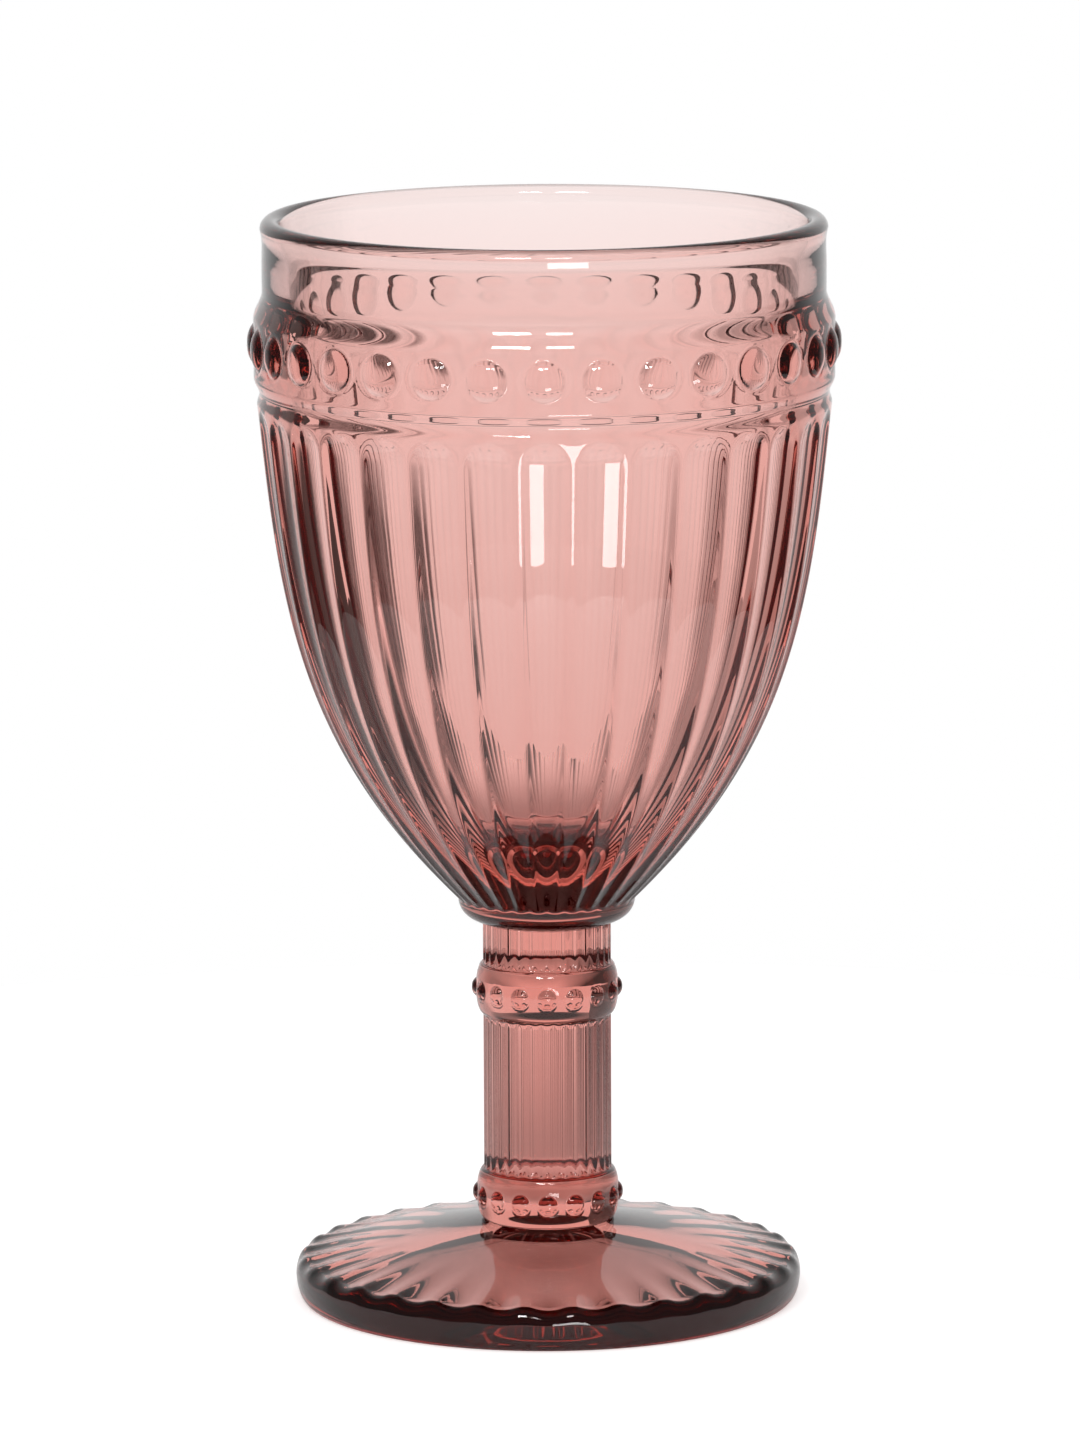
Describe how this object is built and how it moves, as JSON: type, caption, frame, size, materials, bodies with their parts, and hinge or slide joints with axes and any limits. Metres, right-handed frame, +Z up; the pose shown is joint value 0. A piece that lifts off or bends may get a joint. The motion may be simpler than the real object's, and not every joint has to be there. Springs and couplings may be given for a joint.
{
  "type": "footed wine glass",
  "caption": "Footed wine glass in tinted pressed glass: fluted bowl with a beaded band, fluted stem with beaded collars, round foot with a scalloped edge.",
  "frame": {"origin": "centre of the foot's resting plane, on the glass's own axis", "axes": "+Z up along the axis to the lip; the front is -Y, with a bead and a flute on the front centre line"},
  "size_m": [0.0918, 0.0918, 0.17],
  "materials": {
    "rose_glass": "fire-polished pressed glass, dusky rose tint"
  },
  "bodies": {
    "root": {"bowl": "rose_glass", "stem": "rose_glass", "foot": "rose_glass"}
  },
  "joints": []
}
